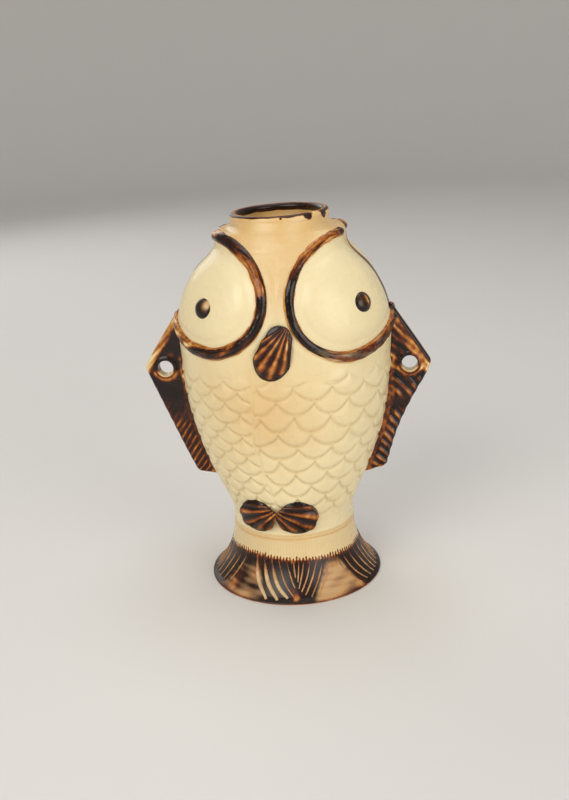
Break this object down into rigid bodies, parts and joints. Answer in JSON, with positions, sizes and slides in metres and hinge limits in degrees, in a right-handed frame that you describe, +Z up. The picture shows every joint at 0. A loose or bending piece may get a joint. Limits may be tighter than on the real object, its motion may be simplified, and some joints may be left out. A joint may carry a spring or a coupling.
{
  "type": "double fish vase",
  "caption": "Hollow stoneware vase of two fish joined belly to belly, tails spread as the foot, pierced dorsal fins as cord lugs.",
  "frame": {"origin": "middle of the foot's underside, on the surface that the vase stands on", "axes": "+Z up through the mouth, -Y out of the front, +X to the right fish's dorsal fin"},
  "size_m": [0.2124, 0.1356, 0.28],
  "materials": {
    "cream_glaze": "glossy cream glaze over stoneware",
    "treacle_glaze": "glossy treacle brown glaze that breaks to amber on edges",
    "tail_glaze": "cream glaze at the waist, treacle brown glaze over the tails",
    "bare_stoneware": "unglazed fired clay"
  },
  "bodies": {
    "root": {"right_fish_shell": "cream_glaze", "left_fish_shell": "cream_glaze", "neck_collar": "cream_glaze", "right_tail_foot": "tail_glaze", "left_tail_foot": "tail_glaze", "base_disc": "bare_stoneware", "right_dorsal_fin": "treacle_glaze", "left_dorsal_fin": "treacle_glaze", "right_front_gill_ridge": "treacle_glaze", "right_front_eye": "treacle_glaze", "right_front_pelvic_fin": "treacle_glaze", "left_front_gill_ridge": "treacle_glaze", "left_front_eye": "treacle_glaze", "left_front_pelvic_fin": "treacle_glaze", "front_pectoral_fin": "treacle_glaze", "right_back_gill_ridge": "treacle_glaze", "right_back_eye": "treacle_glaze", "right_back_pelvic_fin": "treacle_glaze", "left_back_gill_ridge": "treacle_glaze", "left_back_eye": "treacle_glaze", "left_back_pelvic_fin": "treacle_glaze", "back_pectoral_fin": "treacle_glaze"}
  },
  "joints": []
}
